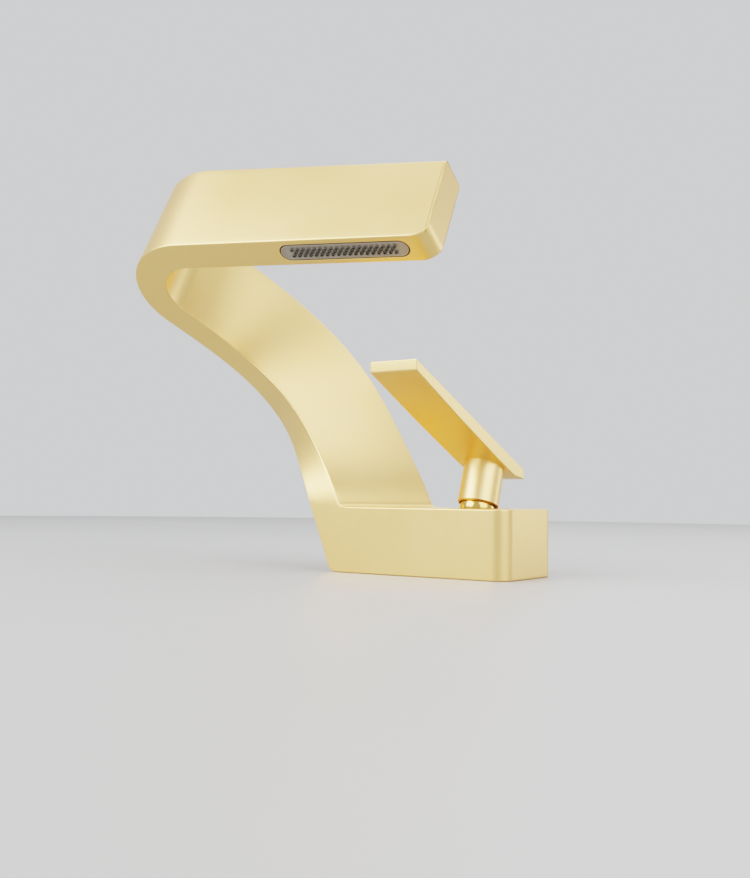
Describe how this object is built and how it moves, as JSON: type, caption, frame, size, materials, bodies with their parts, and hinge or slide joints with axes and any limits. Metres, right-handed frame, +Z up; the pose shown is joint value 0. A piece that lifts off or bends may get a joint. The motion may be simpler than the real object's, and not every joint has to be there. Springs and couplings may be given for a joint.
{
  "type": "bathroom mixer faucet",
  "caption": "Single-lever basin mixer: flat band that twists up from a rectangular base block, bends round and pours from a wide slot.",
  "frame": {"origin": "axis of the deck hole, in the plane of the base block's underside", "axes": "+Z up, +X to the user's right as they face the basin, +Y away from the user, towards the wall"},
  "size_m": [0.2089, 0.1245, 0.2811],
  "materials": {
    "satin_gold": "satin champagne gold coating on cast brass",
    "polished_gold": "polished gold coating",
    "raw_brass": "machined brass",
    "outlet_grey": "satin grey moulding",
    "cartridge_plastic": "matte moulded",
    "ceramic": "lapped alumina",
    "rubber": "matte black",
    "steel": "plain stainless"
  },
  "bodies": {
    "body": {"faucet_body": "satin_gold", "spout_cover": "satin_gold", "outlet_insert": "outlet_grey", "outlet_gasket": "rubber", "flow_straightener": "cartridge_plastic", "cartridge_base": "cartridge_plastic", "port_seals": "rubber", "fixed_disc": "ceramic", "cartridge_housing": "cartridge_plastic", "neck_seal": "rubber", "gland_nut": "raw_brass", "dome_collar": "polished_gold", "base_gasket": "rubber", "mounting_stud": "steel", "rubber_clamp_washer": "rubber", "steel_clamp_washer": "steel", "stud_nut": "raw_brass"},
    "turret": {"cartridge_rotor": "cartridge_plastic", "spindle_pin": "steel"},
    "disc_slider": {"disc_carrier": "cartridge_plastic", "moving_disc": "ceramic"},
    "handle": {"handle_blade": "satin_gold", "handle_hub": "satin_gold", "hub_screw": "steel", "hub_screw_plug": "satin_gold", "cartridge_spindle": "raw_brass"}
  },
  "joints": [
    {"name": "handle_turn", "type": "hinge", "parent": "body", "child": "turret", "pos_m": [0.022, 0, 0.032], "axis": [0, 0, 1], "range_deg": [-45, 45]},
    {"name": "handle_lift", "type": "hinge", "parent": "turret", "child": "handle", "pos_m": [0.022, 0, 0.032], "axis": [-1, 0, 0], "range_deg": [-18, 7]},
    {"name": "disc_slide", "type": "slide", "parent": "turret", "child": "disc_slider", "axis": [0, -1, 0], "range_m": [-0.00425, 0.0017]}
  ],
  "couplings": [
    {"joint": "disc_slide", "follows": "handle_lift", "m_per_rad": 0.01339}
  ]
}
